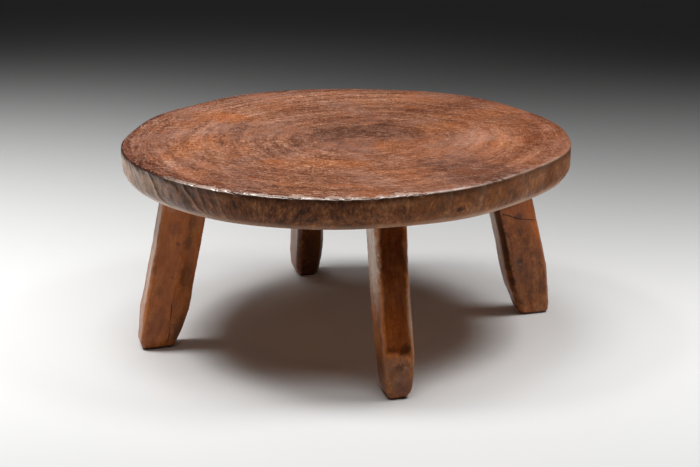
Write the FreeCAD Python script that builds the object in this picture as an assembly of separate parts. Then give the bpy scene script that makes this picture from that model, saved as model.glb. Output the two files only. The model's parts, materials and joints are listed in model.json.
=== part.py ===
import FreeCAD, Part
import math
import os

# Low round table of solid wood: one thick slab cut from a trunk, on four splayed legs hewn by hand.
# Each leg ends in a round tenon that is driven into a blind mortise in the underside of the slab
# and spread by a hidden wedge, so no fixing shows anywhere.
# Millimetres. +Z is up. The origin is on the floor, under the middle of the slab's outline.
# The front leg stands towards -Y.

# The slab as a whole
slab_diameter = 927.0
table_height = 420.0
slab_thickness = 69.0
arris_radius = 4.0

# The slab's outline: reach of the rim from the trunk's centre, at equal steps counter-clockwise
# from +X, as shares of the nominal radius. The trunk was never quite round.
rim_shares = (
    1.000, 0.985, 0.970, 0.975, 0.980, 0.970, 0.980, 1.000,
    1.020, 1.000, 1.010, 0.995, 1.005, 1.010, 1.005, 1.000,
    1.005, 1.010, 1.015, 1.005, 1.010, 0.995, 1.000, 1.020,
)

# The slab's lower rim is hewn away: how far it is set in at the underside and at the bevel's
# upper line, and how high that line runs. The shares make the bevel broader and narrower around.
under_inset = 18.0
bevel_inset = 2.0
bevel_height = 22.0
under_inset_shares = (1.0, 0.9, 1.0, 0.9, 0.9, 0.8, 0.9, 1.2, 0.9, 1.1, 1.0, 0.9)
bevel_height_shares = (1.0, 0.8, 1.2, 0.9, 1.3, 1.0, 1.2, 0.8, 0.9, 1.2, 0.9, 0.8)

# The legs: size of the billet along the table's radius and across it, and the angle at which it
# leans out from the vertical
leg_depth = 94.0
leg_width = 66.0
splay_angle = 11.8

# The round tenon on each leg and its blind mortise
tenon_diameter = 50.0
tenon_length = 44.0
tenon_root = 15.0
tenon_fit = 0.25
mortise_end_gap = 0.3

# The saw kerf across the tenon's end and the wedge in it
kerf_depth = 32.0
kerf_root_width = 1.8
kerf_mouth_width = 6.4
wedge_length = 27.0
wedge_width = 40.0
wedge_fit = 0.15

# One overrun for every cut that starts outside the wood
overrun = 5.0

# Heights of a leg's sections: the first three as shares of the leg's height, the last four as
# shares of the height of its knee, where the foot starts to taper
shank_height_shares = (1.0, 0.72, 0.46)
foot_height_shares = (1.0, 0.55, 0.2, 0.0)

# No two legs are alike. For each leg: the direction in which it stands, how far its axis meets the
# underside in from the slab's nominal rim, and the height of its knee as a share of the leg's height.
# Then, at each section from the shoulder down to the sole, the reach outwards, inwards, to the left
# and to the right (as seen from the middle of the table) as shares of half the billet.
# corner_shares holds what the adze took off each corner, along the depth and across the width, as
# shares of the section there: outer left, inner left, inner right, outer right.
legs = {
    "right": {
        "azimuth": 14.5,
        "setback": 121.5,
        "knee_share": 0.32,
        "outer_shares": (0.92, 0.93, 0.94, 0.94, 0.83, 0.70, 0.56),
        "inner_shares": (1.00, 0.99, 0.97, 1.01, 0.97, 0.78, 0.64),
        "left_shares": (0.98, 1.00, 0.97, 1.02, 0.94, 0.76, 0.56),
        "right_shares": (1.02, 0.99, 1.03, 1.04, 0.95, 0.76, 0.58),
        "corner_shares": ((0.10, 0.14), (0.12, 0.12), (0.11, 0.18), (0.07, 0.10)),
    },
    "back": {
        "azimuth": 103.2,
        "setback": 117.0,
        "knee_share": 0.25,
        "outer_shares": (0.98, 1.00, 0.98, 0.99, 0.91, 0.76, 0.54),
        "inner_shares": (1.00, 0.97, 0.99, 0.97, 0.85, 0.66, 0.55),
        "left_shares": (0.93, 0.90, 0.89, 0.92, 0.93, 0.80, 0.58),
        "right_shares": (0.98, 0.96, 0.93, 0.93, 0.90, 0.74, 0.54),
        "corner_shares": ((0.09, 0.12), (0.10, 0.16), (0.12, 0.14), (0.10, 0.12)),
    },
    "left": {
        "azimuth": 192.4,
        "setback": 128.5,
        "knee_share": 0.23,
        "outer_shares": (1.02, 1.00, 1.01, 1.05, 0.98, 0.86, 0.70),
        "inner_shares": (1.00, 1.01, 0.99, 0.99, 0.86, 0.67, 0.56),
        "left_shares": (1.03, 1.00, 1.04, 1.07, 0.98, 0.80, 0.60),
        "right_shares": (1.00, 1.02, 0.98, 1.03, 0.96, 0.78, 0.58),
        "corner_shares": ((0.05, 0.08), (0.42, 0.13), (0.12, 0.12), (0.09, 0.14)),
    },
    "front": {
        "azimuth": 283.0,
        "setback": 125.5,
        "knee_share": 0.24,
        "outer_shares": (1.00, 0.98, 0.95, 1.00, 0.94, 0.79, 0.58),
        "inner_shares": (1.00, 0.98, 1.00, 0.98, 0.84, 0.66, 0.54),
        "left_shares": (1.04, 0.92, 0.97, 1.00, 0.92, 0.70, 0.46),
        "right_shares": (1.00, 0.98, 0.96, 0.92, 0.87, 0.74, 0.56),
        "corner_shares": ((0.10, 0.07), (0.10, 0.14), (0.14, 0.12), (0.08, 0.08)),
    },
}

# Worked out from the sizes above
slab_radius = slab_diameter / 2
underside_height = table_height - slab_thickness
splay = math.radians(splay_angle)
mortise_length = tenon_length + mortise_end_gap


def around(shares, angle):
    """A share read from a ring of shares at an angle, easing from each share into the next."""
    place = angle / (2 * math.pi) * len(shares)
    first = int(place) % len(shares)
    second = (first + 1) % len(shares)
    ease = (1 - math.cos(math.pi * (place - int(place)))) / 2
    return shares[first] * (1 - ease) + shares[second] * ease


def rim_ring(inset_at, height_at):
    """A closed smooth wire round the slab, set in from the rim and at a height, both by angle."""
    points = []
    for step, share in enumerate(rim_shares):
        angle = 2 * math.pi * step / len(rim_shares)
        reach = slab_radius * share - inset_at(angle)
        points.append(FreeCAD.Vector(reach * math.cos(angle), reach * math.sin(angle), height_at(angle)))
    curve = Part.BSplineCurve()
    curve.interpolate(Points=points, PeriodicFlag=True)
    return Part.Wire(curve.toShape())


def slab_blank():
    """The slab before its mortises, with the middle of its outline over the origin."""
    underside = rim_ring(
        lambda angle: under_inset * around(under_inset_shares, angle),
        lambda angle: underside_height,
    )
    bevel_line = rim_ring(
        lambda angle: bevel_inset,
        lambda angle: underside_height + bevel_height * around(bevel_height_shares, angle),
    )
    top = rim_ring(lambda angle: 0, lambda angle: table_height)
    blank = Part.makeLoft([underside, bevel_line, top], True, True)
    rim_edges = [edge for edge in blank.Edges if edge.BoundBox.ZMin > table_height - arris_radius]
    blank = blank.makeFillet(arris_radius, rim_edges)
    middle = blank.optimalBoundingBox(False, False).Center
    blank.translate(FreeCAD.Vector(-middle.x, -middle.y, 0))
    return blank


def seat_radius(leg):
    """How far from the table's middle a leg's axis meets the underside of the slab."""
    return slab_radius - leg["setback"]


def place_at_leg(shape, leg):
    """Turn a shape from the leg's own frame (X out, Y to the left, Z up) to where the leg stands."""
    shape.rotate(FreeCAD.Vector(0, 0, 0), FreeCAD.Vector(0, 0, 1), leg["azimuth"])
    return shape


def lean(shape, leg):
    """Put a shape drawn along +Z from the origin onto the leg's leaning axis, at the shoulder."""
    shape.rotate(FreeCAD.Vector(0, 0, 0), FreeCAD.Vector(0, 1, 0), -splay_angle)
    shape.translate(FreeCAD.Vector(seat_radius(leg), 0, underside_height))
    return shape


def leg_section(leg, index, height):
    """One eight-sided section of a leg, at a height, in the leg's own frame."""
    axis = seat_radius(leg) + (underside_height - height) * math.tan(splay)
    outer = leg_depth / 2 * leg["outer_shares"][index]
    inner = leg_depth / 2 * leg["inner_shares"][index]
    left = leg_width / 2 * leg["left_shares"][index]
    right = leg_width / 2 * leg["right_shares"][index]
    depth = outer + inner
    width = left + right
    cuts = [(depth * along, width * across) for along, across in leg["corner_shares"]]
    (ol_x, ol_y), (il_x, il_y), (ir_x, ir_y), (or_x, or_y) = cuts
    corners = [
        (outer, left - ol_y),
        (outer - ol_x, left),
        (il_x - inner, left),
        (-inner, left - il_y),
        (-inner, ir_y - right),
        (ir_x - inner, -right),
        (outer - or_x, -right),
        (outer, or_y - right),
    ]
    points = [FreeCAD.Vector(axis + x, y, height) for x, y in corners]
    return Part.makePolygon(points + points[:1])


def leg_heights(leg):
    """Heights of a leg's sections, from the shoulder down to the sole."""
    knee = underside_height * leg["knee_share"]
    shank = [underside_height * share for share in shank_height_shares]
    foot = [knee * share for share in foot_height_shares]
    return shank + foot


def hewn_billet(leg):
    """The leg without its tenon: flat facets from the shoulder to the knee and down to the sole."""
    sections = [leg_section(leg, index, height) for index, height in enumerate(leg_heights(leg))]
    return place_at_leg(Part.makeLoft(sections, True, True), leg)


def axis_cylinder(leg, radius, below, above):
    """A cylinder on the leg's axis, from below the shoulder to above it."""
    cylinder = Part.makeCylinder(radius, below + above, FreeCAD.Vector(0, 0, -below))
    return place_at_leg(lean(cylinder, leg), leg)


def taper_width(distance):
    """Width of the kerf at a distance down from the tenon's end."""
    return kerf_mouth_width + (kerf_root_width - kerf_mouth_width) * distance / kerf_depth


def tapered_block(leg, top_width, bottom_width, across, top, bottom):
    """A block with two sloping sides on the leg's axis, between two distances above the shoulder."""
    profile = [
        FreeCAD.Vector(-bottom_width / 2, -across / 2, bottom),
        FreeCAD.Vector(bottom_width / 2, -across / 2, bottom),
        FreeCAD.Vector(top_width / 2, -across / 2, top),
        FreeCAD.Vector(-top_width / 2, -across / 2, top),
    ]
    face = Part.Face(Part.makePolygon(profile + profile[:1]))
    block = face.extrude(FreeCAD.Vector(0, across, 0))
    return place_at_leg(lean(block, leg), leg)


def kerf(leg):
    """The tapered saw cut across the tenon's end."""
    return tapered_block(
        leg,
        taper_width(-overrun),
        kerf_root_width,
        tenon_diameter + 2 * overrun,
        tenon_length + overrun,
        tenon_length - kerf_depth,
    )


def wedge(leg):
    """The hidden wedge that spreads the tenon in its mortise."""
    return tapered_block(
        leg,
        taper_width(0) - 2 * wedge_fit,
        taper_width(wedge_length) - 2 * wedge_fit,
        wedge_width,
        tenon_length,
        tenon_length - wedge_length,
    )


def whole_leg(leg):
    """A leg with its round tenon and the kerf in it, all one piece of wood."""
    tenon = axis_cylinder(leg, tenon_diameter / 2, tenon_root, tenon_length)
    return hewn_billet(leg).fuse(tenon).cut(kerf(leg)).removeSplitter()


def table_top():
    """The slab with a blind mortise for each leg."""
    slab = slab_blank()
    for leg in legs.values():
        slab = slab.cut(axis_cylinder(leg, tenon_diameter / 2 + tenon_fit, overrun, mortise_length))
    return slab


def save(shape, name):
    """Write one piece of wood to its own file."""
    solid = shape.Solids[0]
    solid.exportStep("parts/" + name + ".step")
    print(name, len(shape.Solids), "solid, valid:", solid.isValid(), "volume:", round(solid.Volume))


os.makedirs("parts", exist_ok=True)
save(table_top(), "table_top")
for leg_name, leg in legs.items():
    save(whole_leg(leg), "leg_" + leg_name)
    save(wedge(leg), "wedge_" + leg_name)
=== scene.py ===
import json
import math

import bmesh
import bpy
import numpy as np
from mathutils import Matrix, Vector, noise
from mathutils.bvhtree import BVHTree


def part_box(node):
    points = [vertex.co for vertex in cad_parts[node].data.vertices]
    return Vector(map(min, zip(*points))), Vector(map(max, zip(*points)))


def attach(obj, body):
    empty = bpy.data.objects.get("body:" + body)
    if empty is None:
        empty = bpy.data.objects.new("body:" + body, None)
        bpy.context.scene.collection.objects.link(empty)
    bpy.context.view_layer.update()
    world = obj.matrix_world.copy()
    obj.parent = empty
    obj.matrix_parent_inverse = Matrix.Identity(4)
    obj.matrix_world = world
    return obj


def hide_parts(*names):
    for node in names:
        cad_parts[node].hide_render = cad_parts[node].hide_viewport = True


# Looks of a low round table: a waxed tree-trunk slab on four hewn legs.
# Metres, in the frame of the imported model. The slab and the legs are dense meshes that follow the
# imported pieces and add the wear, the tool marks and the cracks of the real wood. The wedges that are
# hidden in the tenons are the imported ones.

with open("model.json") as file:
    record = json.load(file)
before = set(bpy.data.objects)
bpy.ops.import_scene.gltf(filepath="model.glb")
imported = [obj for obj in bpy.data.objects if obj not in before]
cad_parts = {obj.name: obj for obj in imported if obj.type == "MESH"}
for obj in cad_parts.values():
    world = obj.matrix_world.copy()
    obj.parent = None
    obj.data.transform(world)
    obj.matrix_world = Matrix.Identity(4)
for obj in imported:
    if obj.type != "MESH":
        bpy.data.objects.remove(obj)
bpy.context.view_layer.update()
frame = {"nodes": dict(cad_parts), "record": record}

# Sizes read from the frame
SLAB_LOW, SLAB_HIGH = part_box("table_top")
TOP = SLAB_HIGH.z
UNDER = SLAB_LOW.z
RADIUS = (SLAB_HIGH.x - SLAB_LOW.x) / 2
MM = 0.001

# The middle of each leg's sole, by the leg's own name
MOUNTS = frame["record"]["mounts"]
SOLES = {m["name"].removeprefix("sole_"): m["pos_m"] for m in MOUNTS if m["name"].startswith("sole_")}

# The legs' lean and the blind mortises, as in the part's own sizes, and how far down the part's own
# arris reaches, with a little to spare
SPLAY = math.radians(11.8)
MORTISE_RADIUS = 25.25 * MM
MORTISE_DEPTH = 44.3 * MM
BELOW_CAD_ARRIS = TOP - 4.5 * MM

# The camera of the photograph, aimed at the middle of the top
FRAME_WIDTH_PX = 700
FOCAL_PX = 2300
SENSOR_MM = 36.0
CAMERA_DISTANCE = 4.801
CAMERA_RISE_DEG = 14.14
CAMERA_SHIFT = Vector((0.0032, 0.0049, 0.0))
LOOK_DOWN_DEG = 16.54
LOOK_ASIDE_DEG = 0.047
ROLL_DEG = -0.881


def srgb(red, green, blue):
    """A colour given as 0 to 255 screen values, in linear light with full alpha."""
    values = []
    for value in (red, green, blue):
        share = value / 255
        values.append(share / 12.92 if share <= 0.04045 else ((share + 0.055) / 1.055) ** 2.4)
    return (*values, 1.0)


def ease(values, low, high):
    """0 below low, 1 above high and a smooth step between, for numbers or arrays."""
    t = np.clip((values - low) / (high - low), 0.0, 1.0)
    return t * t * (3 - 2 * t)


# Camera

def add_camera():
    """The camera of the photograph, with its slight roll."""
    rise = math.radians(CAMERA_RISE_DEG)
    down = math.radians(LOOK_DOWN_DEG)
    aside = math.radians(LOOK_ASIDE_DEG)
    roll = math.radians(ROLL_DEG)
    forward = Vector((math.sin(aside) * math.cos(down), math.cos(aside) * math.cos(down), -math.sin(down)))
    level = forward.cross(Vector((0, 0, 1))).normalized()
    upright = level.cross(forward)
    right = level * math.cos(roll) + upright * math.sin(roll)
    up = upright * math.cos(roll) - level * math.sin(roll)
    turn = Matrix((right, up, -forward)).transposed()
    place = Vector((0, -CAMERA_DISTANCE * math.cos(rise), TOP + CAMERA_DISTANCE * math.sin(rise)))
    data = bpy.data.cameras.new("camera")
    data.sensor_fit = "HORIZONTAL"
    data.sensor_width = SENSOR_MM
    data.lens = SENSOR_MM * FOCAL_PX / FRAME_WIDTH_PX
    data.clip_end = 60
    camera = bpy.data.objects.new("camera", data)
    camera.matrix_world = Matrix.Translation(place + CAMERA_SHIFT) @ turn.to_4x4()
    bpy.context.scene.collection.objects.link(camera)
    bpy.context.scene.camera = camera


# Shader helper: each call adds a node and gives back its output

class Shader:
    def __init__(self, name):
        self.material = bpy.data.materials.new(name)
        self.material.use_nodes = True
        self.tree = self.material.node_tree
        self.surface = next(n for n in self.tree.nodes if n.type == "BSDF_PRINCIPLED")

    def put(self, socket, value):
        """Link an output to a socket, or set the socket's own value."""
        if isinstance(value, bpy.types.NodeSocket):
            self.tree.links.new(value, socket)
        else:
            socket.default_value = value

    def add(self, kind, inputs=(), output=0, **settings):
        node = self.tree.nodes.new(kind)
        for name, value in settings.items():
            setattr(node, name, value)
        for key, value in dict(inputs).items():
            self.put(node.inputs[key], value)
        return node.outputs[output]

    def math(self, operation, a, b=0.0, clamp=False):
        return self.add("ShaderNodeMath", {0: a, 1: b}, operation=operation, use_clamp=clamp)

    def times(self, a, b):
        return self.math("MULTIPLY", a, b)

    def plus(self, a, b):
        return self.math("ADD", a, b)

    def vector(self, operation, a, b=(0, 0, 0)):
        return self.add("ShaderNodeVectorMath", {0: a, 1: b}, operation=operation)

    def stretch(self, vector, x, y, z):
        return self.vector("MULTIPLY", vector, (x, y, z))

    def length(self, vector):
        return self.add("ShaderNodeVectorMath", {0: vector}, 1, operation="LENGTH")

    def noise(self, vector, scale, detail=3.0, rough=0.55, output=0):
        inputs = {"Vector": vector, "Scale": scale, "Detail": detail, "Roughness": rough}
        return self.add("ShaderNodeTexNoise", inputs, output, noise_dimensions="3D")

    def drift(self, vector, scale, reach):
        """The vector moved about by up to half the reach, by a smooth noise."""
        moves = self.vector("SUBTRACT", self.noise(vector, scale, 2.0, 0.5, 1), (0.5, 0.5, 0.5))
        return self.vector("ADD", vector, self.stretch(moves, *reach))

    def span(self, value, low, high, to_low=0.0, to_high=1.0):
        """A value eased from one span to another, and held at its ends."""
        inputs = {0: value, 1: low, 2: high, 3: to_low, 4: to_high}
        return self.add("ShaderNodeMapRange", inputs, interpolation_type="SMOOTHSTEP", clamp=True)

    def total(self, *parts):
        """The sum of values, each with its weight."""
        total = None
        for value, weight in parts:
            part = self.times(value, weight)
            total = part if total is None else self.plus(total, part)
        return total

    def mix(self, factor, a, b, blend="MIX"):
        inputs = {0: factor, 6: a, 7: b}
        return self.add("ShaderNodeMix", inputs, 2, data_type="RGBA", blend_type=blend)

    def tint(self, base, mask, strength, colour):
        return self.mix(self.times(mask, strength), base, colour)

    def blend(self, factor, a, b):
        """Two numbers mixed by a factor."""
        return self.add("ShaderNodeMix", {0: factor, 2: a, 3: b}, 0, data_type="FLOAT")

    def ramp(self, value, stops):
        node = self.tree.nodes.new("ShaderNodeValToRGB")
        elements = node.color_ramp.elements
        while len(elements) < len(stops):
            elements.new(0.5)
        for element, (place, colour) in zip(elements, stops):
            element.position = place
            element.color = colour
        self.put(node.inputs[0], value)
        return node.outputs[0]

    def combine(self, x, y, z):
        return self.add("ShaderNodeCombineXYZ", {0: x, 1: y, 2: z})

    def split(self, vector):
        node = self.tree.nodes.new("ShaderNodeSeparateXYZ")
        self.put(node.inputs[0], vector)
        return node.outputs[0], node.outputs[1], node.outputs[2]

    def position(self):
        node = self.tree.nodes.new("ShaderNodeTexCoord")
        return node.outputs["Object"]

    def attribute(self, name, output="Fac"):
        node = self.tree.nodes.new("ShaderNodeAttribute")
        node.attribute_name = name
        return node.outputs[output]

    def turn(self, vector, angle):
        return self.add("ShaderNodeVectorRotate", {"Vector": vector, "Angle": angle}, rotation_type="Z_AXIS")

    def bump(self, height, strength, distance, below=None):
        node = self.tree.nodes.new("ShaderNodeBump")
        self.put(node.inputs["Strength"], strength)
        node.inputs["Distance"].default_value = distance
        self.put(node.inputs["Height"], height)
        if below is not None:
            self.put(node.inputs["Normal"], below)
        return node.outputs[0]

    def patch(self, vector, centre, reach, wobble, angle=0.0):
        """A soft patch round a point: 1 inside, fading to 0, its edge made ragged by wobble."""
        moved = self.vector("SUBTRACT", vector, centre)
        if angle:
            moved = self.turn(moved, angle)
        scaled = self.stretch(moved, 1 / reach[0], 1 / reach[1], 1 / reach[2])
        return self.span(self.plus(self.length(scaled), wobble), 0.35, 1.15, 1.0, 0.0)

    def streak(self, vector, start, end, width):
        """A thin line from start to end: 1 along it and 0 beyond its width."""
        run = Vector(end) - Vector(start)
        moved = self.vector("SUBTRACT", vector, start)
        inputs = {0: moved, 1: run / run.length_squared}
        share = self.add("ShaderNodeVectorMath", inputs, 1, operation="DOT_PRODUCT")
        share = self.math("ADD", share, 0.0, clamp=True)
        along = self.add("ShaderNodeVectorMath", {0: tuple(run), "Scale": share}, operation="SCALE")
        away = self.length(self.vector("SUBTRACT", moved, along))
        return self.span(away, width * 0.3, width, 1.0, 0.0)


# Slab material: end grain on the top, hewn fibres on the side

# The middle of the growth rings
PITH = (0.056, -0.014, 0.0)

# Broad stains and pale places of the end grain, the pale ones partly painted sheen and the dark one at the
# front right partly a painted reflection. Each one multiplies the grain's colour, so that the grain still
# shows: middle, reach, turn, share of red, green and blue
DARK_WOOD = (0.46, 0.46, 0.54, 1)
RED_WOOD = (0.68, 0.55, 0.48, 1)
PALE_WOOD_AND_SHEEN = (1.32, 1.42, 1.52, 1)
ORANGE_WOOD = (1.18, 0.98, 0.64, 1)

ZONES = (
    ((0.040, 0.020), (0.210, 0.170), 0.0, DARK_WOOD, 0.38),
    ((-0.022, 0.036), (0.080, 0.080), 0.5, DARK_WOOD, 0.50),
    ((0.084, 0.062), (0.065, 0.080), -0.4, DARK_WOOD, 0.55),
    # Partly painted reflection: the top mirrors the dark backdrop here
    ((0.260, -0.290), (0.170, 0.110), 0.75, DARK_WOOD, 0.80),
    ((-0.120, -0.080), (0.075, 0.065), 0.0, DARK_WOOD, 0.28),
    ((-0.225, 0.080), (0.022, 0.150), 0.15, DARK_WOOD, 0.45),
    ((-0.180, -0.150), (0.110, 0.022), -0.7, DARK_WOOD, 0.35),
    ((0.300, 0.320), (0.120, 0.075), -0.7, RED_WOOD, 0.75),
    ((0.160, 0.230), (0.150, 0.050), -0.4, RED_WOOD, 0.55),
    ((0.395, 0.030), (0.060, 0.260), 0.0, RED_WOOD, 0.65),
    ((-0.220, -0.300), (0.140, 0.060), -0.6, RED_WOOD, 0.55),
    ((-0.020, 0.160), (0.170, 0.040), 0.1, RED_WOOD, 0.50),
    ((-0.390, 0.000), (0.045, 0.200), 0.0, RED_WOOD, 0.50),
    ((-0.290, 0.010), (0.080, 0.180), 0.1, PALE_WOOD_AND_SHEEN, 0.45),
    ((0.300, -0.030), (0.080, 0.120), -0.1, PALE_WOOD_AND_SHEEN, 0.95),
    ((-0.040, 0.370), (0.280, 0.075), 0.1, PALE_WOOD_AND_SHEEN, 0.95),
    ((-0.280, 0.290), (0.150, 0.080), 0.8, PALE_WOOD_AND_SHEEN, 0.70),
    ((-0.160, 0.180), (0.100, 0.060), 0.5, PALE_WOOD_AND_SHEEN, 0.55),
    ((-0.130, -0.140), (0.100, 0.050), 0.0, PALE_WOOD_AND_SHEEN, 0.40),
    ((0.094, -0.076), (0.050, 0.065), 0.0, ORANGE_WOOD, 0.90),
    ((0.200, 0.080), (0.070, 0.060), 0.0, ORANGE_WOOD, 0.70),
    ((-0.330, -0.080), (0.050, 0.120), 0.3, ORANGE_WOOD, 0.70),
    ((0.330, 0.220), (0.120, 0.050), -0.7, ORANGE_WOOD, 0.50),
    ((-0.060, -0.200), (0.130, 0.045), 0.0, ORANGE_WOOD, 0.80),
    ((-0.260, 0.200), (0.120, 0.050), 0.7, ORANGE_WOOD, 0.60),
)

# Small knots in the slab's side: direction in degrees, height and reach in millimetres, strength
KNOTS = (
    (284.0, 392, 10, 0.75),
    (294.2, 379, 10, 0.70),
    (298.3, 374, 9, 0.80),
    (250.0, 392, 9, 0.45),
    (262.0, 384, 10, 0.40),
    (309.0, 396, 9, 0.40),
    (322.0, 400, 7, 0.45),
    (228.5, 376, 8, 0.45),
)


def ring_vector(s, across, along, x, y, reach):
    """Coordinates that follow the growth rings: across them by distance, along them by direction."""
    safe = s.math("MAXIMUM", reach, 4 * MM)
    return s.combine(
        s.times(reach, across),
        s.times(s.math("DIVIDE", x, safe), along),
        s.times(s.math("DIVIDE", y, safe), along),
    )


def end_grain(s, place):
    """Colour, roughness, sheen and two bump heights of the top."""
    flat = s.stretch(place, 1, 1, 0)
    centred = s.vector("SUBTRACT", flat, PITH)
    warped = s.drift(s.drift(centred, 3.0, (0.05, 0.05, 0)), 14.0, (0.006, 0.006, 0))
    x, y, _ = s.split(warped)
    reach = s.length(warped)
    band = s.noise(ring_vector(s, 46, 1.2, x, y, reach), 1.0, 3.0, 0.55)
    streak = s.noise(ring_vector(s, 110, 4.5, x, y, reach), 1.0, 4.0, 0.6)
    fine = s.noise(ring_vector(s, 210, 20, x, y, reach), 1.0, 3.0, 0.65)
    dash = s.noise(ring_vector(s, 260, 40, x, y, reach), 1.0, 2.0, 0.5)
    grit = s.noise(s.stretch(flat, 1, 0.6, 1), 210.0, 3.0, 0.7)
    scratch = s.noise(s.stretch(flat, 0.32, 1, 1), 170.0, 3.0, 0.65)
    cloud = s.noise(flat, 6.0, 4.0, 0.6)
    mottle = s.noise(flat, 30.0, 4.0, 0.65)
    wobble = s.times(s.math("SUBTRACT", mottle, 0.5), 1.6)

    tone = s.total((band, 0.15), (streak, 0.08), (fine, 0.17), (grit, 0.27), (scratch, 0.25), (mottle, 0.08))
    colour = s.ramp(
        tone,
        (
            (0.40, srgb(68, 35, 23)),
            (0.455, srgb(112, 64, 41)),
            (0.50, srgb(141, 87, 59)),
            (0.545, srgb(174, 117, 86)),
            (0.59, srgb(220, 176, 150)),
        ),
    )
    # Pinkish-grey patches: partly the wood's own tone, partly painted sheen
    pink = s.span(s.total((cloud, 0.6), (streak, 0.2), (fine, 0.2)), 0.46, 0.58)
    colour = s.tint(colour, pink, 0.42, srgb(168, 124, 108))
    warm = s.span(s.total((s.noise(flat, 9.0, 3.0, 0.6), 0.5), (band, 0.3), (fine, 0.2)), 0.49, 0.58)
    colour = s.tint(colour, warm, 0.42, srgb(168, 94, 52))
    east = s.span(s.split(place)[0], -0.10, 0.42)
    colour = s.tint(colour, east, 0.26, srgb(160, 92, 54))
    for (cx, cy), (rx, ry), angle, tint, strength in ZONES:
        mask = s.patch(flat, (cx, cy, 0), (rx, ry, 1), wobble, angle)
        colour = s.mix(s.times(mask, strength), colour, tint, "MULTIPLY")

    # The rim's band is darker where hands have polished it, most of all on the left, where the very
    # edge is darkest
    rim = s.attribute("rim")
    west = s.span(s.split(place)[0], -0.30, 0.10, 1.0, 0.35)
    band_mask = s.span(s.plus(rim, s.times(s.math("SUBTRACT", streak, 0.5), 0.10)), 0.002, 0.052, 1.0, 0.0)
    colour = s.mix(s.times(band_mask, west), colour, (0.50, 0.38, 0.34, 1), "MULTIPLY")
    lip = s.times(s.span(rim, 0.0, 0.006, 1.0, 0.0), s.span(s.split(place)[0], -0.36, -0.28, 1.0, 0.0))
    colour = s.mix(lip, colour, (0.42, 0.32, 0.28, 1), "MULTIPLY")

    # Open pores that have filled with pale wax, and short pale rays
    near_rim = s.times(s.span(rim, 0.01, 0.14, 0.045, 0.0), west)
    speck = s.span(s.plus(s.noise(s.stretch(flat, 1, 0.7, 1), 240.0, 1.0, 0.5), near_rim), 0.67, 0.74)
    ray = s.span(dash, 0.64, 0.72)
    line = s.span(s.noise(s.stretch(flat, 0.12, 1, 1), 150.0, 2.0, 0.6), 0.60, 0.72)
    pale = s.math("MAXIMUM", speck, s.math("MAXIMUM", s.times(ray, 0.7), s.times(line, 0.55)))
    colour = s.tint(colour, pale, 0.6, srgb(214, 182, 164))

    rough = s.span(s.total((band, 0.5), (mottle, 0.5)), 0.35, 0.65, 0.34, 0.50)
    low = s.plus(band, streak)
    high = s.math("SUBTRACT", s.plus(fine, s.times(grit, 0.6)), s.times(pale, 0.8))
    return colour, rough, s.span(lip, 0.0, 1.0, 0.5, 0.2), low, high


# How much the side's fibres lean, in radians for each metre down and each metre from left to right
SIDE_LEAN = -2.2


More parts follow.
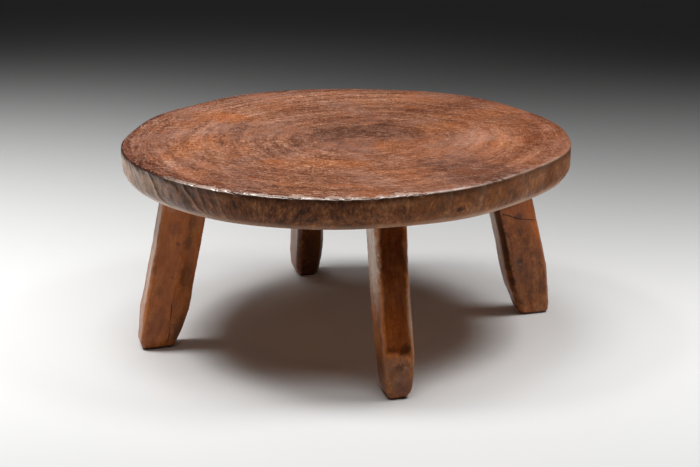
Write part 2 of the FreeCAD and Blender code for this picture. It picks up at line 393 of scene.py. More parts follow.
def side_grain(s, place):
    """Colour, roughness, sheen and two bump heights of the hewn side, whose fibres lean and curl."""
    x, y, height = s.split(place)
    below = s.math("SUBTRACT", height, TOP)
    bend = s.times(s.math("SUBTRACT", s.noise(s.stretch(place, 1, 1, 0), 5.0, 1.0, 0.5), 0.5), 6.0)
    lean = s.times(below, s.plus(s.times(x, SIDE_LEAN), bend))
    curled = s.drift(s.turn(place, lean), 26.0, (0.014, 0.014, 0.014))
    fibre = s.noise(s.stretch(curled, 1, 1, 0.34), 120.0, 5.0, 0.68)
    scratch = s.noise(s.stretch(curled, 1, 1, 0.28), 330.0, 3.0, 0.65)
    blotch = s.noise(s.stretch(place, 1, 1, 1.3), 20.0, 4.0, 0.62)
    patchy = s.noise(s.stretch(curled, 1, 1, 0.8), 85.0, 4.0, 0.68)
    tone = s.total((fibre, 0.20), (blotch, 0.30), (patchy, 0.30), (scratch, 0.20))
    colour = s.ramp(
        tone,
        (
            (0.411, srgb(52, 27, 12)),
            (0.462, srgb(90, 50, 24)),
            (0.52, srgb(121, 70, 36)),
            (0.593, srgb(174, 115, 71)),
        ),
    )
    # Towards the right the side's own wood is warmer, and it is also painted lighter, standing in for the
    # light from the right
    warm = s.span(x, -0.02, 0.26)
    colour = s.mix(s.times(warm, 0.45), colour, (1.80, 1.76, 1.66, 1), "MULTIPLY")
    colour = s.tint(colour, warm, 0.22, srgb(176, 110, 62))
    grey = s.span(blotch, 0.5, 0.62)
    colour = s.tint(colour, grey, 0.22, srgb(126, 96, 72))

    # The far left of the front is painted paler, standing in for the light and sheen of the lamp on the left
    west = s.times(s.span(x, -0.46, -0.30, 1.0, 0.0), s.span(x, -0.45, -0.39, 0.86, 0.48))
    west = s.times(west, s.span(y, -0.02, 0.14, 1.0, 0.2))
    pale_stops = ((0.43, srgb(158, 120, 94)), (0.50, srgb(204, 167, 139)), (0.57, srgb(228, 198, 172)))
    colour = s.mix(west, colour, s.ramp(tone, pale_stops))

    knotty = s.times(s.math("SUBTRACT", patchy, 0.5), 2.0)
    for angle, level, reach, strength in KNOTS:
        way = math.radians(angle)
        centre = (RADIUS * math.cos(way), RADIUS * math.sin(way), level * MM)
        colour = s.tint(colour, s.patch(place, centre, (reach * MM,) * 3, knotty), strength, srgb(44, 24, 13))

    # A dark, ragged line runs under the arris, and the bevel's lower line is painted pale, standing in for
    # the light that the floor throws up on it
    ragged = s.times(s.math("SUBTRACT", patchy, 0.5), 0.03)
    under_arris_dark = s.span(s.plus(below, ragged), s.span(x, -0.42, -0.25, -0.015, -0.020), -0.005)
    front = s.span(s.math("ABSOLUTE", s.math("SUBTRACT", x, -0.03)), 0.10, 0.40, 0.88, 0.45)
    under_arris_dark = s.times(under_arris_dark, s.math("MAXIMUM", front, s.span(x, -0.40, -0.24, 0.92, 0.0)))
    colour = s.tint(colour, under_arris_dark, 1.0, srgb(38, 19, 11))
    # Painted light: the pale line on the lower bevel
    foot = s.span(s.plus(below, s.times(ragged, 0.5)), UNDER - TOP + 0.003, UNDER - TOP + 0.012, 1.0, 0.0)
    aside = s.span(s.math("ABSOLUTE", s.plus(x, 0.02)), 0.10, 0.34, 0.25, 0.65)
    colour = s.tint(colour, s.times(foot, aside), 1.0, srgb(206, 174, 150))
    # Painted highlight on the adze cuts' crests and painted shade in their grooves
    colour = s.tint(colour, s.attribute("crest_highlight"), 0.75, srgb(206, 180, 158))
    colour = s.tint(colour, s.attribute("groove_shade"), 0.75, srgb(50, 29, 17))
    rough = s.plus(s.span(fibre, 0.3, 0.7, 0.28, 0.42), s.times(s.span(x, -0.40, -0.15), 0.24))
    sheen = s.plus(s.times(s.span(x, -0.41, -0.22, 0.26, 0.0), s.span(y, -0.02, 0.14, 1.0, 0.0)), 0.22)
    sheen = s.times(sheen, s.span(under_arris_dark, 0.0, 0.8, 1.0, 0.4))
    return colour, rough, sheen, s.plus(s.times(fibre, 1.2), s.times(patchy, 1.0)), scratch


def slab_material():
    s = Shader("slab_wood")
    place = s.position()
    top, rough_top, sheen_top, low_top, high_top = end_grain(s, place)
    side, rough_side, sheen_side, low_side, high_side = side_grain(s, place)
    edge = s.attribute("side")
    colour = s.mix(edge, top, side)
    # The wear mask lightens the rubbed arris and paints a pale highlight along its front; it also makes the
    # arris glossier
    colour = s.tint(colour, s.attribute("wear_and_glint"), 0.72, srgb(216, 190, 174))
    s.put(s.surface.inputs["Base Color"], colour)
    rough = s.blend(edge, rough_top, rough_side)
    rough = s.blend(s.attribute("wear_and_glint"), rough, 0.20)
    s.put(s.surface.inputs["Roughness"], rough)
    sheen = s.blend(edge, sheen_top, sheen_side)
    s.put(s.surface.inputs["Specular IOR Level"], s.blend(s.attribute("wear_and_glint"), sheen, 1.0))
    calm = s.span(s.attribute("wear_and_glint"), 0.0, 0.8, 1.0, 0.15)
    normal = s.bump(s.blend(edge, low_top, low_side), s.times(calm, 0.5), 0.0014)
    normal = s.bump(s.blend(edge, high_top, high_side), s.times(calm, 0.4), 0.0006, normal)
    s.put(s.surface.inputs["Normal"], normal)
    return s.material


# Leg material: stains, knots and drying cracks. Each leg has its own stretch of the grain space.

GRAIN_STEP = 1.0
LEG_ORDER = ("right", "back", "left", "front")

# Soft marks, among them painted highlights and painted shade: leg, middle and reach in millimetres outwards,
# to the left and up the leg, strength
DARK_MARKS_AND_SHADE = (
    ("left", (-18, 31, 238), (11, 20, 22), 0.55),
    ("left", (-20, 30, 275), (9, 20, 26), 0.50),
    ("left", (-26, 30, 165), (16, 20, 34), 0.40),
    ("left", (3, 33, 232), (7, 9, 6), 0.45),
    ("left", (41, 34, 171), (5, 12, 12), 0.35),
    ("left", (-34, 22, 45), (22, 26, 44), 0.55),
    ("front", (45, 8, 120), (14, 22, 60), 0.25),
    ("front", (45, 1, 58), (9, 13, 9), 0.55),
    ("front", (44, 0, 25), (24, 46, 70), 0.52),
    ("front", (48, 16, 92), (12, 14, 14), 0.60),
    ("front", (48, -14, 92), (12, 16, 10), 0.35),
    ("left", (20, 33, 60), (20, 12, 36), 0.30),
    ("left", (12, 34, 262), (16, 10, 18), 0.28),
    ("left", (24, 34, 128), (12, 10, 14), 0.30),
    ("right", (-8, -33, 262), (26, 10, 14), 0.35),
    ("right", (22, -33, 60), (18, 12, 22), 0.30),
    ("right", (-2, -33, 60), (8, 10, 9), 0.35),
    ("right", (12, -34, 140), (9, 9, 10), 0.35),
    ("front", (40, -3, 25), (9, 9, 6), 0.40),
    ("front", (5, -31, 60), (34, 14, 44), 0.55),
    # Painted shade: the dark band beside the right leg's pale strip
    ("right", (-40, -30, 200), (9, 15, 220), 0.78),
    ("right", (0, -33, 80), (70, 16, 160), 0.28),
    ("right", (1, -33, 228), (13, 12, 9), 0.50),
    ("right", (0, -33, 200), (9, 10, 14), 0.38),
    ("right", (5, -34, 162), (8, 10, 20), 0.38),
    ("right", (-15, -34, 131), (8, 9, 7), 0.60),
    ("right", (28, -34, 112), (6, 8, 9), 0.45),
    ("right", (8, -33, 92), (8, 9, 10), 0.40),
    # Painted shade: the back leg, which stands in the table's shadow
    ("back", (-50, -8, 150), (60, 70, 500), 0.74),
)
WARM_MARKS = (
    ("right", (34, -33, 205), (12, 20, 70), 0.55),
    ("right", (8, -33, 262), (46, 20, 80), 0.34),
    ("left", (8, 33, 170), (52, 16, 220), 0.32),
    ("left", (-44, 20, 230), (10, 30, 100), 0.40),
    ("front", (-11, -32, 166), (20, 10, 24), 0.60),
    ("front", (44, 0, 128), (16, 34, 60), 0.30),
    ("right", (-20, -34, 158), (10, 12, 20), 0.30),
)
PALE_MARKS_AND_LIGHT = (
    # Painted light: the left-facing strips of the right and the left leg
    ("right", (-47, 8, 190), (12, 34, 240), 0.85),
    ("left", (46, 8, 200), (9, 26, 230), 0.45),
    # Painted reflection of the floor on the front leg's foot
    ("front", (44, 0, 50), (14, 34, 42), 0.12),
    ("front", (45, 27, 150), (6, 7, 70), 0.50),
    # Painted light: the front leg's left face
    ("front", (6, -33, 285), (48, 13, 125), 1.0),
    ("left", (26, 33, 320), (16, 14, 26), 0.25),
    ("back", (-30, 34, 110), (30, 9, 150), 0.55),
    ("right", (-15, -34, 125), (2, 3, 2), 0.60),
)

# The marks are laid over each other in this order, each kind with its colour
MARKS = (
    (WARM_MARKS, srgb(206, 108, 40)),
    (PALE_MARKS_AND_LIGHT, srgb(220, 190, 164)),
    (DARK_MARKS_AND_SHADE, srgb(50, 25, 13)),
)

# Cracks and worm tracks: leg, start, end and width, in millimetres
CRACKS = (
    ("left", (-6, 35, 101), (-11, 33, 56), 1.6),
    ("left", (-11, 33, 56), (-14, 23, 12), 1.9),
    ("left", (5, 34, 160), (-36, 29, 139), 1.0),
    ("right", (-30, -33, 245), (4, -33, 224), 1.6),
    ("right", (4, -33, 224), (38, -33, 211), 1.4),
    ("front", (8, -34, 328), (13, -33, 306), 2.0),
    ("front", (20, -33, 330), (18, -33, 318), 1.6),
    ("front", (-2, -33, 300), (2, -33, 288), 1.6),
)


def grain_shift(leg):
    """How far a leg's stretch of the grain space lies from its own frame, along each axis."""
    return LEG_ORDER.index(leg) * GRAIN_STEP


def grain_point(leg, point):
    """A point of a leg's own frame, in millimetres, as a point of the shared grain space."""
    return tuple(value * MM + grain_shift(leg) for value in point)


def leg_material():
    s = Shader("leg_wood")
    grain = s.attribute("grain", "Vector")
    bent = s.drift(grain, 8.0, (0.03, 0.03, 0))
    fibre = s.noise(s.stretch(bent, 1, 1, 0.10), 120.0, 4.0, 0.62)
    vein = s.noise(s.stretch(bent, 1, 1, 0.30), 36.0, 4.0, 0.62)
    hair = s.noise(s.stretch(bent, 1, 1, 0.08), 480.0, 2.0, 0.6)
    cloud = s.noise(s.stretch(grain, 1, 1, 0.7), 22.0, 4.0, 0.6)
    mottle = s.noise(grain, 70.0, 4.0, 0.65)
    grit = s.noise(grain, 260.0, 3.0, 0.65)
    wobble = s.times(s.math("SUBTRACT", s.total((mottle, 0.6), (grit, 0.4)), 0.5), 2.4)
    tone = s.total((fibre, 0.22), (vein, 0.22), (hair, 0.12), (cloud, 0.14), (mottle, 0.16), (grit, 0.14))
    colour = s.ramp(
        tone,
        (
            (0.385, srgb(99, 50, 19)),
            (0.455, srgb(143, 77, 31)),
            (0.515, srgb(173, 98, 41)),
            (0.59, srgb(204, 130, 66)),
        ),
    )
    dusk = s.noise(s.stretch(grain, 1, 1, 0.5), 30.0, 3.0, 0.6)
    violet = s.span(s.total((dusk, 0.7), (mottle, 0.3)), 0.50, 0.62)
    colour = s.tint(colour, violet, 0.36, srgb(124, 80, 60))
    for marks, tint in MARKS:
        for leg, centre, reach, strength in marks:
            mask = s.patch(grain, grain_point(leg, centre), [r * MM for r in reach], wobble)
            colour = s.tint(colour, mask, strength, tint)
    gap = None
    wavy = s.drift(grain, 60.0, (0.004, 0.004, 0))
    for leg, start, end, width in CRACKS:
        line = s.streak(wavy, grain_point(leg, start), grain_point(leg, end), width * MM)
        gap = line if gap is None else s.math("MAXIMUM", gap, line)
    colour = s.tint(colour, gap, 0.92, srgb(26, 14, 9))
    # On the legs this mask is only the wear of their corners
    colour = s.tint(colour, s.attribute("wear_and_glint"), 0.45, srgb(220, 164, 116))

    # The hollows are darker, partly their own wood and partly painted shade, most of all at the top of the
    # front leg's, under the slab; the lowest few millimetres of the sole are darker
    hollow = s.attribute("hollow")
    hollow_dark_and_shade = s.span(s.plus(s.split(grain)[2], -grain_shift("front")), 0.10, 0.33, 0.78, 1.0)
    colour = s.mix(s.times(hollow, hollow_dark_and_shade), colour, (0.32, 0.23, 0.14, 1), "MULTIPLY")
    sole_dark = s.span(s.split(s.position())[2], 0.0015, 0.0065, 1.0, 0.0)
    colour = s.tint(colour, sole_dark, 0.8, srgb(26, 15, 10))
    s.put(s.surface.inputs["Base Color"], colour)
    rough = s.span(s.total((vein, 0.5), (mottle, 0.5)), 0.35, 0.65, 0.27, 0.42)
    s.put(s.surface.inputs["Roughness"], rough)
    s.put(s.surface.inputs["Specular IOR Level"], s.blend(hollow, 0.34, 0.16))
    normal = s.bump(s.total((fibre, 0.7), (cloud, 0.6), (mottle, 0.6)), 0.55, 0.0014)
    high = s.math("SUBTRACT", s.plus(hair, s.times(grit, 0.5)), s.times(gap, 2.0))
    normal = s.bump(high, 0.35, 0.0006, normal)
    s.put(s.surface.inputs["Normal"], normal)
    return s.material


def wedge_material():
    s = Shader("wedge_wood")
    place = s.position()
    fibre = s.noise(s.stretch(place, 1, 1, 0.08), 700.0, 4.0, 0.6)
    cloud = s.noise(place, 60.0, 3.0, 0.55)
    tone = s.total((fibre, 0.6), (cloud, 0.4))
    stops = ((0.38, srgb(150, 112, 76)), (0.5, srgb(184, 146, 104)), (0.62, srgb(206, 172, 130)))
    colour = s.ramp(tone, stops)
    s.put(s.surface.inputs["Base Color"], colour)
    s.put(s.surface.inputs["Roughness"], s.span(fibre, 0.3, 0.7, 0.6, 0.75))
    s.put(s.surface.inputs["Normal"], s.bump(fibre, 0.4, 0.0004))
    return s.material


# Slab mesh

# Points around the rim, and the fewest around the middle: a ring has half as many points as the rim,
# or a quarter and so on, where they would come closer than the spacing. The rings of the top and of
# the underside are shares of the radius
AROUND = 960
FEWEST_AROUND = 60
TOP_SPACING = 2.2 * MM
UNDER_SPACING = 4.2 * MM
TOP_RINGS = [1 - 0.0075 * i for i in range(14)] + [0.89 - 0.013 * i for i in range(68)]
UNDER_RINGS = [1.0, 0.995] + [0.985 - 0.02 * i for i in range(48)]

# Height between the rings of the side, and how far up and down the crease of its bevel is softened
SIDE_STEP = 3 * MM
CREASE_REACH = 6 * MM

# The worn arris where it is widest: its width and its drop, how round it is, from 0 for a plain
# bevel to 1 for a full curve, and the rings over it
ARRIS = 6.5 * MM
ARRIS_DROP = 3.4 * MM
ARRIS_ROUND = 0.2
ARRIS_STEPS = 7

# The direction of the one deep nick in the rim
NOTCH_DEG = 277.0

# How deep the wear and the tool marks are: swells and dints of the top, how far the softened edge
# falls and is set in, facets, ripples and fibres of the side, and a whole chip of the rim, inwards
# and downwards
TOP_SWELL = 0.5 * MM
TOP_DINT = 0.22 * MM
EDGE_FALL = 0.8 * MM
EDGE_INSET = 0.6 * MM
SIDE_FACET = 2.6 * MM
SIDE_RIPPLE = 1.0 * MM
SIDE_FIBRE = 0.4 * MM
CHIP_IN = 9 * MM
CHIP_DOWN = 6 * MM

# How far in from the arris its painted highlight ends, more or less, and how far down the arris' wear fades
# out
SHINE_REACH = 14 * MM
ARRIS_FADE = 12 * MM

# Adze cuts across the side that meet in a crest: direction in degrees at the top and at the underside,
# width and depth in millimetres, the painted highlight of the crest and the painted shade of the groove to
# its right
CUTS = (
    (210.8, 218.2, 11, 2.6, 0.95, 0.75),
    (198.4, 204.3, 5, 1.2, 0.20, 0.75),
    (200.6, 207.2, 6, 1.2, 0.45, 0.60),
    (225.0, 233.0, 9, 2.0, 0.36, 0.45),
    (230.3, 234.0, 6, 1.2, 0.26, 0.35),
    (236.0, 239.7, 6, 1.2, 0.28, 0.25),
    (296.6, 295.4, 8, 1.2, 0.14, 0.45),
    (306.5, 304.0, 8, 1.2, 0.20, 0.35),
    (320.0, 323.5, 10, 1.6, 0.14, 0.35),
    (331.5, 327.5, 11, 1.8, 0.18, 0.30),
)


def tree_of(node):
    """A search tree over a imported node's mesh, for casting rays at it."""
    mesh = frame["nodes"][node].data
    corners = [v.co.copy() for v in mesh.vertices]
    mesh.calc_loop_triangles()
    return BVHTree.FromPolygons(corners, [tuple(t.vertices) for t in mesh.loop_triangles])


def reach_at(tree, angle, height, soften=0.0):
    """Distance from the axis to the slab's outer face, by direction and height. The crease of the
    hewn bevel is softened by taking the mean over a short span of height."""
    out = Vector((math.cos(angle), math.sin(angle), 0))
    steps = (-1, 0, 1) if soften else (0,)
    total = 0.0
    for step in steps:
        level = min(max(height + step * soften, UNDER + 0.3 * MM), BELOW_CAD_ARRIS)
        hit = tree.ray_cast(out * (RADIUS * 1.5) + Vector((0, 0, level)), -out)[0]
        total += Vector((hit.x, hit.y)).length
    return total / len(steps)


def fractal(x, y, z, octaves):
    """Smooth noise about 0, with finer noise on it for each further octave."""
    return noise.fractal(Vector((x, y, z)), 0.5, 2.0, octaves)


def arris_share(angle):
    """The arris is worn widest at the front: its width there is 1, and less elsewhere."""
    at_front = float(ease(-math.sin(angle), 0.2, 0.6))
    not_right = float(ease(math.cos(angle), 0.75, 0.3))
    return 0.62 + 0.38 * at_front * not_right


def ring_steps(share, spacing):
    """Which of the rim's points a ring keeps, at a share of the radius."""
    count = AROUND
    while share * 2 * math.pi * RADIUS / count < spacing and count > FEWEST_AROUND:
        count //= 2
    return range(0, AROUND, AROUND // count)


def slab_rows(tree):
    """Rings of points from the middle of the top, over the rim, to the middle of the underside.
    Each ring is a list of (reach, angle, height, distance in from the rim) and its share of side."""
    angles = [2 * math.pi * i / AROUND for i in range(AROUND)]
    rim = [reach_at(tree, a, BELOW_CAD_ARRIS) for a in angles]
    wear = [arris_share(a) for a in angles]
    rows = []
    for share in reversed(TOP_RINGS):
        row = []
        for i in ring_steps(share, TOP_SPACING):
            reach = (rim[i] - ARRIS * wear[i]) * share
            row.append((reach, angles[i], TOP, rim[i] - reach))
        rows.append((row, 0.0))
    for k in range(1, ARRIS_STEPS + 1):
        share = k / ARRIS_STEPS
        bend = math.pi / 2 * share
        inset = ARRIS * (ARRIS_ROUND * (1 - math.sin(bend)) + (1 - ARRIS_ROUND) * (1 - share))
        drop = ARRIS_DROP * (ARRIS_ROUND * (1 - math.cos(bend)) + (1 - ARRIS_ROUND) * share)
        row = [(rim[i] - inset * wear[i], a, TOP - drop * wear[i], 0.0) for i, a in enumerate(angles)]
        rows.append((row, float(ease(share, 0.5, 1.0))))
    height = TOP - ARRIS_DROP - 1.2 * MM
    while height > UNDER + SIDE_STEP / 2:
        soften = min(CREASE_REACH, height - UNDER, max(TOP - ARRIS - height, 0.0))
        rows.append(([(reach_at(tree, a, height, soften), a, height, 0.0) for a in angles], 1.0))
        height -= SIDE_STEP
    under = [reach_at(tree, a, UNDER + MM) for a in angles]
    for share in UNDER_RINGS:
        row = [(under[i] * share, angles[i], UNDER, 0.0) for i in ring_steps(share, UNDER_SPACING)]
        rows.append((row, 1.0))
    return rows


def cuts_at(angle, height):
    """The adze cuts at a point of the side: how far they set it in, their crests' painted highlight, their
    grooves' painted shade.
    """
    inset = crest_highlight = groove_shade = 0.0
    share = (TOP - height) / (TOP - UNDER)
    for high, low, width, depth, pale, dark in CUTS:
        turned = (math.degrees(angle) - high - (low - high) * share + 180) % 360 - 180
        away = math.radians(turned) * RADIUS
        if abs(away) < 8 * width * MM:
            away += 3 * MM * fractal(height * 40, high, 0.5, 2)
            run = abs(away) / (width * MM)
            inset += depth * MM * run * math.exp(1 - run)
            if away < 0:
                crest_highlight = max(crest_highlight, pale * math.exp(-0.9 * run))
            else:
                groove_shade = max(groove_shade, dark * math.exp(-0.7 * run) * float(ease(away, 0.0, 2.5 * MM)))
    return inset, crest_highlight, groove_shade


def rim_wear_and_glint(angle):
    """The rim in one direction: its chips, how far its edge has softened, and how much it is polished and
    painted with a highlight.
    """
    cx, cy = math.cos(angle), math.sin(angle)
    front = float(ease(-cy, 0.55, 0.85))
    chip = front * max(0.0, fractal(cx * 9 + 3.7, cy * 9, 4.0, 4) - 0.25)
    turned = (math.degrees(angle) - NOTCH_DEG + 180) % 360 - 180
    notch = math.exp(-((turned / 1.2) ** 2)) * (0.7 + 0.6 * fractal(cx * 60, cy * 60, 2.0, 2))
    chip = chip + 0.40 * max(0.0, notch)
    flaked = float(ease(-cy, 0.35, 0.75)) * float(ease(-cx, -0.45, -0.05))
    chip = chip + flaked * 0.42 * max(0.0, fractal(cx * 15, cy * 15, 2.6, 3) + 0.10)
    soft = 0.5 + 0.5 * fractal(cx * 6, cy * 6, 8.0, 2)
    rubbed = min(1.0, max(0.0, 0.8 + 0.8 * fractal(cx * 14, cy * 14, 6.0, 2) + 2.0 * chip))
    # The front arris is painted with a pale highlight here, broken up where it is rubbed
    polish_and_glint = float(ease(cx, -0.82, -0.69)) * (1.0 - 0.6 * float(ease(cx, 0.15, 0.5)))
    polish_and_glint *= float(ease(-cy, 0.1, 0.5))
    return chip, soft, polish_and_glint * rubbed


def worn_top_and_glint(reach, angle, height, rim):
    """A point of the top with its gentle swells and dints, which falls away towards the arris, and the
    painted highlight of its outer band.
    """
    chip, soft, polish_and_glint = rim_wear_and_glint(angle)
    cx, cy = math.cos(angle), math.sin(angle)
    x, y = reach * cx, reach * cy
    swell = fractal(x * 7, y * 7, 1.3, 2)
    dint = fractal(x * 26, y * 26, 5.1, 2)
    near_rim = 1.0 - float(ease(rim - ARRIS, 0.0, 12 * MM))
    fall = 1.0 - float(ease(rim - ARRIS, 0.0, 28 * MM))
    height -= TOP_SWELL * (1 + swell) + TOP_DINT * dint
    height -= near_rim * CHIP_DOWN * chip + fall * EDGE_FALL * soft
    # The painted highlight reaches a little way in over the top's outer band
    inner = 0.5 * MM + SHINE_REACH * fractal(cx * 13, cy * 13, 3.0, 4)
    band = 1.0 - float(ease(rim - ARRIS, inner, inner + 2 * MM))
    return reach, height, 0.75 * polish_and_glint * band


def hewn_side(reach, angle, height, cut):
    """A point of the side with facets, ripples and fibres that lean, the chips under the arris, and the
    arris' painted highlight.
    """
    chip, soft, polish_and_glint = rim_wear_and_glint(angle)
    cx, cy = math.cos(angle), math.sin(angle)
    lean = angle + (height - TOP) * (SIDE_LEAN * (reach * cx))
    lx, ly = math.cos(lean), math.sin(lean)
    low = float(ease(TOP - height, 0.8 * ARRIS_DROP, ARRIS_FADE))
    bottom = float(ease(height - UNDER, 0.0, 10 * MM))
    west = float(ease(-cx, 0.3, 0.9))
    facet = abs(fractal(cx * 10, cy * 10, height * 14, 2)) - 0.3
    ripple = fractal(lx * 30, ly * 30, height * 8, 3) * (1 - 0.3 * west)
    fibre = fractal(lx * 110, ly * 110, height * 14, 2)
    near_arris = 1.0 - float(ease(TOP - height, ARRIS_DROP, ARRIS_FADE))
    calm = 0.45 + 0.9 * abs(fractal(cx * 8, cy * 8, height * 30, 2))
    uneven = SIDE_FACET * facet + SIDE_RIPPLE * calm * ripple + SIDE_FIBRE * fibre
    inset = low * (uneven + cut) * max(bottom, 0.35)
    inset += near_arris * (CHIP_IN * chip + EDGE_INSET * soft)
    drop = near_arris * (CHIP_DOWN * chip + EDGE_FALL * soft + TOP_SWELL)
    arris = 1.0 - float(ease(TOP - height, 0.9 * ARRIS_DROP, 1.4 * ARRIS_DROP))
    return reach - inset, height - drop, arris * polish_and_glint


def shape_slab_point(reach, angle, height, rim, side, cut):
    """The real surface at a point of the plain slab. Takes how far in from the rim the point lies, its
    share of side and how far the adze cuts set it in. Gives the new reach and height, and the wear with its
    painted highlight."""
    if side == 0.0:
        return worn_top_and_glint(reach, angle, height, rim)

    # The underside stays flat, so that the legs' shoulders meet it
    if height < UNDER + 0.5 * MM:
        return reach, height, 0.0
    return hewn_side(reach, angle, height, cut)


def ring_faces(rings):
    """Faces between neighbouring rings, each given as its first point and its count. Where a ring has
    twice the points of the other, each of the other's edges gets a fan of three triangles."""
    faces = []
    for (a, count_a), (b, count_b) in zip(rings, rings[1:]):
        if count_a == count_b:
            for i in range(count_a):
                j = (i + 1) % count_a
                faces.append((a + i, b + i, b + j, a + j))
            continue
        outward = count_a < count_b
        small, large, count = (a, b, count_a) if outward else (b, a, count_b)
        for i in range(count):
            s0, s1 = small + i, small + (i + 1) % count
            l0, l1, l2 = (large + (2 * i + k) % (2 * count) for k in range(3))
            fans = [(s0, l0, l1), (s0, l1, s1), (s1, l1, l2)]
            faces.extend(fans if outward else [tuple(reversed(f)) for f in fans])
    return faces


def slab_mesh():
    """The slab without its mortises, with the values that its material reads at each point."""
    names = ("side", "wear_and_glint", "rim", "crest_highlight", "groove_shade")
    vertices, values, rings = [], [], []
    for row, side in slab_rows(tree_of("table_top")):
        rings.append((len(vertices), len(row)))
        for reach, angle, height, rim in row:
            hewn = side == 1.0 and height > UNDER
            cut, crest_highlight, groove_shade = cuts_at(angle, height) if hewn else (0.0, 0.0, 0.0)
            new_reach, new_height, wear_and_glint = shape_slab_point(reach, angle, height, rim, side, cut)
            x = min(max(new_reach * math.cos(angle), SLAB_LOW.x), SLAB_HIGH.x)
            y = min(max(new_reach * math.sin(angle), SLAB_LOW.y), SLAB_HIGH.y)
            vertices.append((x, y, min(new_height, TOP)))
            values.append((side, wear_and_glint, rim, crest_highlight, groove_shade))
    faces = ring_faces(rings)
    ends = ((rings[0], vertices[0][2], 0.0), (rings[-1], UNDER, 1.0))
    for (first, count), height, side in ends:
        middle = len(vertices)
        vertices.append((0.0, 0.0, height))
        values.append((side, 0.0, RADIUS, 0.0, 0.0))
        for i in range(count):
            one, next_one = first + i, first + (i + 1) % count
            faces.append((middle, next_one, one) if side else (middle, one, next_one))
    mesh = bpy.data.meshes.new("slab")
    mesh.from_pydata(vertices, [], faces)
    for name, column in zip(names, zip(*values)):
        mesh.attributes.new(name, "FLOAT", "POINT").data.foreach_set("value", column)
    mesh.shade_smooth()
    return mesh


# How far the plugs that cut the mortises start below the slab, and their sides
PLUG_OVERRUN = 20 * MM
PLUG_SIDES = 48


def mortise_mesh():
    """Four plugs the size of the blind mortises, each on its leg's axis and starting below the slab."""
    mesh = bmesh.new()
    for side in SOLES:
        foot, _, _, up = leg_axes(side)
        seat = foot + up * (UNDER / up.z)
        turn = up.to_track_quat("Z", "Y").to_matrix().to_4x4()
        start = seat - up * PLUG_OVERRUN
        depth = MORTISE_DEPTH + PLUG_OVERRUN
        place = Matrix.Translation(start + up * depth / 2) @ turn
        bmesh.ops.create_cone(
            mesh,
            cap_ends=True,
            segments=PLUG_SIDES,
            radius1=MORTISE_RADIUS,
            radius2=MORTISE_RADIUS,
            depth=depth,
            matrix=place,
        )
    plugs = bpy.data.meshes.new("plugs")
    mesh.to_mesh(plugs)
    mesh.free()
    return plugs


def cut_mortises(slab):
    """The slab's mesh with the four plugs taken out of it."""
    plugs = bpy.data.objects.new("plugs", mortise_mesh())
    bpy.context.scene.collection.objects.link(plugs)
    cut = slab.modifiers.new("mortises", "BOOLEAN")
    cut.operation = "DIFFERENCE"
    cut.solver = "EXACT"
    cut.object = plugs
    bpy.context.view_layer.update()
    mesh = bpy.data.meshes.new_from_object(slab.evaluated_get(bpy.context.evaluated_depsgraph_get()))
    slab.modifiers.clear()
    slab.data = mesh
    bpy.data.objects.remove(plugs)


def add_slab(material):
    slab = bpy.data.objects.new("slab", slab_mesh())
    bpy.context.scene.collection.objects.link(slab)
    cut_mortises(slab)
    slab.data.materials.append(material)
    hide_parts("table_top")
    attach(slab, "root")


# Leg meshes

# Grid of the remeshed leg, rounds of smoothing that soften its corners, how far the sole's edge is
# rounded in, over what height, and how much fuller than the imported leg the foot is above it
LEG_VOXEL = 1.6 * MM
CORNER_ROUNDS = 3
FOOT_ROUND = 3.5 * MM
FOOT_ROUND_HEIGHT = 9 * MM
FOOT_SWELL = 2.2 * MM

# How deep the legs' tool marks are, from broad to fine, and the chips of their corners
BROAD_MARKS = 0.9 * MM
TOOL_MARKS = 0.6 * MM
FINE_MARKS = 0.14 * MM
CORNER_CHIPS = 2.4 * MM

# How far a point stands out over its neighbours where chips and wear begin and where they are whole
CHIPPED = (0.04 * MM, 0.22 * MM)
WORN = (0.08 * MM, 0.30 * MM)

# Hollows worked into the outer faces: lower end, upper end and depth
HOLLOWS = {
    "front": (78 * MM, 380 * MM, 3.0 * MM),
    "back": (80 * MM, 360 * MM, 1.5 * MM),
}


def leg_axes(side):
    """The leg's foot, and its axes out from the table, to the left and up the leg."""
    x, y, _ = SOLES[side]
    way = math.atan2(y, x)
    out = Vector((math.cos(way) * math.cos(SPLAY), math.sin(way) * math.cos(SPLAY), math.sin(SPLAY)))
    left = Vector((-math.sin(way), math.cos(way), 0))
    return Vector((x, y, 0)), out, left, out.cross(left)


def leg_mesh(side):
    """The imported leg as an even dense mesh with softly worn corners."""
    piece = bpy.data.objects.new("hewn", frame["nodes"]["leg_" + side].data.copy())
    bpy.context.scene.collection.objects.link(piece)
    remesh = piece.modifiers.new("remesh", "REMESH")
    remesh.mode = "VOXEL"
    remesh.voxel_size = LEG_VOXEL
    smooth = piece.modifiers.new("smooth", "SMOOTH")
    smooth.factor = 0.5
    smooth.iterations = CORNER_ROUNDS
    bpy.context.view_layer.update()
    mesh = bpy.data.meshes.new_from_object(piece.evaluated_get(bpy.context.evaluated_depsgraph_get()))
    bpy.data.objects.remove(piece)
    mesh.name = "leg_" + side
    return mesh


def sharpness(mesh, points, normals):
    """How far each point stands out over its neighbours: positive on corners, negative in hollows."""
    pairs = np.empty(len(mesh.edges) * 2, dtype=np.int64)
    mesh.edges.foreach_get("vertices", pairs)
    pairs = pairs.reshape(-1, 2)
    around = np.zeros_like(points)
    count = np.zeros(len(points))
    for one, other in ((0, 1), (1, 0)):
        np.add.at(around, pairs[:, one], points[pairs[:, other]])
        np.add.at(count, pairs[:, one], 1)
    values = np.einsum("ij,ij->i", points - around / count[:, None], normals)
    for _ in range(2):
        around = np.zeros(len(points))
        np.add.at(around, pairs[:, 0], values[pairs[:, 1]])
        np.add.at(around, pairs[:, 1], values[pairs[:, 0]])
        values = 0.5 * values + 0.5 * around / count
    return values


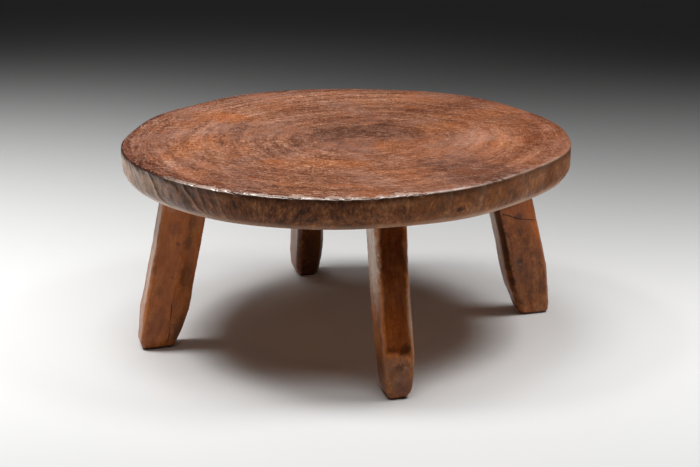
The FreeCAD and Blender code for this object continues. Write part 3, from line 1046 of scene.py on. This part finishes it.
def hollow_share(local, seed, low):
    """How much each point lies in the hollow of the outer face, whose edge is crisp and wavy."""
    waves = np.array([fractal(c * 22 + seed, 3.0, 1.0 if b > 0 else 9.0, 3) for _, b, c in local])
    outer = ease(local[:, 0], 30 * MM, 38 * MM)
    across = 1 - ease(abs(local[:, 1]) + 4 * MM * waves, 20 * MM, 29 * MM)
    along = ease(local[:, 2] + 0.2 * local[:, 1] + 6 * MM * waves, low, low + 12 * MM)
    return outer * across * along


def finish_leg(mesh, side):
    """Tool marks, the hollow, worn corners and a rounded foot, and the values that the material reads:
    where each point lies in the grain, how worn it is and how far it lies in the hollow."""
    sole, out, left, up = leg_axes(side)
    seed = 1.0 + LEG_ORDER.index(side)
    count = len(mesh.vertices)
    points = np.empty(count * 3)
    normals = np.empty(count * 3)
    mesh.vertices.foreach_get("co", points)
    mesh.vertex_normals.foreach_get("vector", normals)
    points = points.reshape(-1, 3)
    normals = normals.reshape(-1, 3)
    local = np.column_stack([(points - np.array(sole)) @ np.array(axis) for axis in (out, left, up)])
    corner = sharpness(mesh, points, normals)
    edge = ease(corner, *CHIPPED)
    hewn = np.empty(count)
    for i, (a, b, c) in enumerate(local):
        broad = fractal(a * 16 + seed, b * 16, c * 9, 2)
        mark = fractal(a * 50 + seed, b * 50, c * 30, 2)
        fine = fractal(a * 180 + seed, b * 180, c * 50, 2)
        chip = max(0.0, fractal(a * 70 + seed, b * 70, c * 55, 3) + 0.1)
        hewn[i] = BROAD_MARKS * broad + TOOL_MARKS * mark + FINE_MARKS * fine - CORNER_CHIPS * edge[i] * chip
    hollow = np.zeros(count)
    if side in HOLLOWS:
        low, high, depth = HOLLOWS[side]
        hollow = hollow_share(local, seed, low)
        hewn -= depth * hollow * (1 - ease(local[:, 2], high - 80 * MM, high))

    # The shoulder against the slab and the sole on the floor keep their places
    free = 1 - ease(points[:, 2], UNDER - 6 * MM, UNDER - MM)
    free = free * ease(points[:, 2], 0.5 * MM, 6 * MM)
    points = points + normals * (hewn * free)[:, None]

    # The foot swells a little above its rounded edge
    level = normals * np.array((1.0, 1.0, 0.0))
    round_share = 1 - points[:, 2] / FOOT_ROUND_HEIGHT
    rounding = FOOT_ROUND * (1 - np.sqrt(np.clip(1 - round_share ** 2, 0, 1)))
    swell = FOOT_SWELL * (1 - ease(points[:, 2], 12 * MM, 50 * MM))
    points = points + level * (swell - np.where(round_share > 0, rounding, 0.0))[:, None]
    points[:, 2] = np.maximum(points[:, 2], 0.0)
    mesh.vertices.foreach_set("co", points.ravel())

    grain = local + grain_shift(side)
    wear_and_glint = ease(corner, *WORN)
    mesh.attributes.new("grain", "FLOAT_VECTOR", "POINT").data.foreach_set("vector", grain.ravel())
    mesh.attributes.new("wear_and_glint", "FLOAT", "POINT").data.foreach_set("value", wear_and_glint)
    mesh.attributes.new("hollow", "FLOAT", "POINT").data.foreach_set("value", hollow)
    mesh.shade_smooth()
    mesh.update()


def add_leg(side, material):
    mesh = leg_mesh(side)
    finish_leg(mesh, side)
    leg = bpy.data.objects.new("hewn_leg_" + side, mesh)
    bpy.context.scene.collection.objects.link(leg)
    leg.data.materials.clear()
    leg.data.materials.append(material)
    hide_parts("leg_" + side)
    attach(leg, "root")


def dress_wedges(material):
    """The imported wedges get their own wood. Nothing shows them from outside."""
    for side in LEG_ORDER:
        wedge = frame["nodes"]["wedge_" + side]
        wedge.data.materials.clear()
        wedge.data.materials.append(material)


# Floor and light

FLOOR_REACH = 12.0
FLOOR_GAP = 0.5 * MM

# The lamps look straight down. Place, width and depth in metres, power in watts, spread in degrees
LAMPS = (
    ("left", (-1.7, 0.1, 3.4), 0.9, 0.9, 30, 75),
    ("right", (1.3, -0.1, 2.4), 0.7, 0.7, 15.5, 94),
    ("front", (0.3, -1.15, 2.3), 2.0, 0.7, 8, 95),
    ("back", (-0.9, 1.15, 2.3), 1.3, 0.7, 3.4, 92),
    ("high", (-0.3, 0.1, 4.5), 1.6, 1.2, 7, 62),
)

# A hair off straight down, in metres at the floor, which settles the way a lamp's width runs
LAMP_TILT = 0.001
WORLD_STRENGTH = 0.016


def add_floor():
    """A wide pale sheet a hair below the soles."""
    mesh = bpy.data.meshes.new("floor")
    corners = [(-1, -1), (1, -1), (1, 1), (-1, 1)]
    mesh.from_pydata([(x * FLOOR_REACH, y * FLOOR_REACH, 0) for x, y in corners], [], [(0, 1, 2, 3)])
    floor = bpy.data.objects.new("floor", mesh)
    floor.location.z = -FLOOR_GAP
    bpy.context.scene.collection.objects.link(floor)
    s = Shader("floor_paper")
    s.surface.inputs["Base Color"].default_value = (0.79, 0.79, 0.785, 1)
    s.surface.inputs["Roughness"].default_value = 0.38
    s.surface.inputs["Specular IOR Level"].default_value = 0.35
    mesh.materials.append(s.material)


def add_light():
    for name, place, width, depth, power, spread in LAMPS:
        data = bpy.data.lights.new(name, "AREA")
        data.shape = "RECTANGLE"
        data.size = width
        data.size_y = depth
        data.energy = power
        data.spread = math.radians(spread)
        lamp = bpy.data.objects.new(name, data)
        lamp.location = place
        lamp.rotation_euler = Vector((0, -LAMP_TILT, -place[2])).to_track_quat("-Z", "Y").to_euler()
        bpy.context.scene.collection.objects.link(lamp)
    world = bpy.data.worlds.new("studio")
    bpy.context.scene.world = world
    world.use_nodes = True
    background = world.node_tree.nodes["Background"]
    background.inputs["Color"].default_value = (1, 1, 1, 1)
    background.inputs["Strength"].default_value = WORLD_STRENGTH


bpy.context.scene.view_settings.view_transform = "Standard"
add_camera()
add_floor()
add_light()
add_slab(slab_material())
leg_wood = leg_material()
for side in LEG_ORDER:
    add_leg(side, leg_wood)
dress_wedges(wedge_material())
